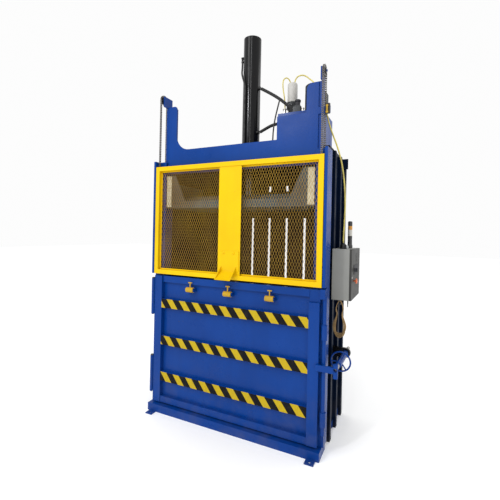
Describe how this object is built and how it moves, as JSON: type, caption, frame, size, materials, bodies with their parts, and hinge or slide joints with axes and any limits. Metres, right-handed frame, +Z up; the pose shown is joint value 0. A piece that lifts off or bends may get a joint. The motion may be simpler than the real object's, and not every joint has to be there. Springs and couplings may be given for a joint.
{
  "type": "recycling baler",
  "caption": "Vertical hydraulic recycling baler with a mesh feed gate on counterweight chains, a screw-locked bale door with hazard bars, a ram-driven platen and a control box.",
  "frame": {"origin": "on the floor, midway between the corner posts, in the plane of the door and gate faces", "axes": "+X to the machine's right seen from the front, +Y from front to back, +Z up"},
  "size_m": [1.8, 0.898, 3.398],
  "materials": {
    "blue_paint": "gloss enamel over welded steel",
    "side_paint": "gloss enamel over folded sheet",
    "yellow_paint": "gloss enamel",
    "yellow_mesh": "painted expanded metal",
    "stripes": "diagonal yellow and black hazard stripes",
    "black_paint": "gloss black enamel",
    "ground_steel": "turned and ground",
    "hard_chrome": "polished",
    "chain_steel": "oiled roller chain",
    "dark_steel": "oiled",
    "weight_iron": "bare casting",
    "wear_plastic": "cream guide strip",
    "grey_box": "textured grey powder coat",
    "black_plastic": "moulded",
    "orange_plastic": "moulded",
    "amber_lens": "translucent beacon sections",
    "light_plastic": "moulded",
    "filter_paint": "spin-on canister",
    "motor_paint": "ribbed casting",
    "hose_rubber": "hydraulic hose",
    "pipe_steel": "bent steel line",
    "yellow_cable": "sheathed cable",
    "cord_fibre": "hanked cord"
  },
  "bodies": {
    "frame": {"base_frame": "blue_paint", "anchor_feet": "blue_paint", "left_post": "blue_paint", "right_post": "blue_paint", "rear_wall": "blue_paint", "header_frame": "blue_paint", "crown_beam": "blue_paint", "frame_hinges": "blue_paint", "oil_tank": "blue_paint", "lock_rod": "blue_paint", "rod_clamps": "blue_paint", "left_side_wall": "side_paint", "right_side_wall": "side_paint", "cylinder_barrel": "black_paint", "cylinder_cap": "black_paint", "lock_bracket": "black_paint", "rear_chains": "chain_steel", "sprocket_brackets": "dark_steel", "hinge_pins": "dark_steel", "cord_hooks": "dark_steel", "control_box": "grey_box", "limit_switch": "black_plastic", "beacon": "amber_lens", "cable_glands": "light_plastic", "filter_canister": "filter_paint", "drive_motor": "motor_paint", "filter_head": "motor_paint", "pressure_hose": "hose_rubber", "return_hose": "hose_rubber", "cap_pipe": "pipe_steel", "support_rod": "pipe_steel", "power_cable": "yellow_cable", "loop_cable": "yellow_cable", "cord_hank": "cord_fibre"},
    "gate": {"gate_frame": "yellow_paint", "gate_mesh": "yellow_mesh", "gate_panel": "yellow_paint", "gate_pull": "yellow_paint", "gate_bolts": "ground_steel", "front_chains": "chain_steel"},
    "sprocket_pair": {"sprockets": "dark_steel"},
    "counterweight_pair": {"counterweights": "weight_iron"},
    "bale_door": {"door_frame": "blue_paint", "door_sheet": "blue_paint", "hazard_rib_1": "stripes", "hazard_rib_2": "stripes", "hazard_rib_3": "stripes", "dog_lugs": "blue_paint", "lock_arm": "blue_paint"},
    "dog_a": {"dog_lever_1": "yellow_paint"},
    "dog_b": {"dog_lever_2": "yellow_paint"},
    "dog_c": {"dog_lever_3": "yellow_paint"},
    "press_platen": {"platen": "blue_paint", "wear_strips": "wear_plastic", "piston_rod": "hard_chrome"},
    "wheel_nut": {"handwheel": "blue_paint"},
    "screw": {"lock_screw": "ground_steel"},
    "box_door": {"control_door": "grey_box"},
    "selector": {"selector_knob": "black_plastic"},
    "stop": {"stop_button": "orange_plastic"}
  },
  "joints": [
    {"name": "gate_slide", "type": "slide", "parent": "frame", "child": "gate", "axis": [0, 0, 1], "range_m": [0, 0.52], "deforming": ["front_chains"]},
    {"name": "sprocket_spin", "type": "hinge", "parent": "frame", "child": "sprocket_pair", "pos_m": [0, 0.061, 2.84], "axis": [-1, 0, 0], "range_deg": [0, 735]},
    {"name": "counterweight_slide", "type": "slide", "parent": "frame", "child": "counterweight_pair", "axis": [0, 0, -1], "range_m": [0, 0.521]},
    {"name": "door_swing", "type": "hinge", "parent": "frame", "child": "bale_door", "pos_m": [-0.779, 0, 0.6], "axis": [0, 0, -1], "range_deg": [0, 110]},
    {"name": "dog_a_turn", "type": "hinge", "parent": "bale_door", "child": "dog_a", "pos_m": [-0.372, 0, 1.124], "axis": [1, 0, 0], "range_deg": [0, 100]},
    {"name": "dog_b_turn", "type": "hinge", "parent": "bale_door", "child": "dog_b", "pos_m": [0, 0, 1.124], "axis": [1, 0, 0], "range_deg": [0, 100]},
    {"name": "dog_c_turn", "type": "hinge", "parent": "bale_door", "child": "dog_c", "pos_m": [0.372, 0, 1.124], "axis": [1, 0, 0], "range_deg": [0, 100]},
    {"name": "platen_press", "type": "slide", "parent": "frame", "child": "press_platen", "axis": [0, 0, -1], "range_m": [0, 1.03]},
    {"name": "handwheel_spin", "type": "hinge", "parent": "frame", "child": "wheel_nut", "pos_m": [0.889, 0.2, 0.676], "axis": [0, -1, 0], "range_deg": [0, 1800]},
    {"name": "lock_screw_slide", "type": "slide", "parent": "frame", "child": "screw", "axis": [0, -1, 0], "range_m": [0, 0.0301]},
    {"name": "box_door_swing", "type": "hinge", "parent": "frame", "child": "box_door", "pos_m": [0.942, 0.62, 1.325], "axis": [0, 0, 1], "range_deg": [0, 110]},
    {"name": "selector_turn", "type": "hinge", "parent": "box_door", "child": "selector", "pos_m": [0.95, 0.33, 1.356], "axis": [1, 0, 0], "range_deg": [-45, 45]},
    {"name": "stop_press", "type": "slide", "parent": "box_door", "child": "stop", "axis": [-1, 0, 0], "range_m": [0, 0.006], "stiffness_N_per_m": 400}
  ],
  "couplings": [
    {"joint": "sprocket_spin", "follows": "gate_slide", "rad_per_m": 24.57},
    {"joint": "counterweight_slide", "follows": "gate_slide", "ratio": 1},
    {"joint": "lock_screw_slide", "follows": "handwheel_spin", "m_per_rad": 0.000955}
  ]
}
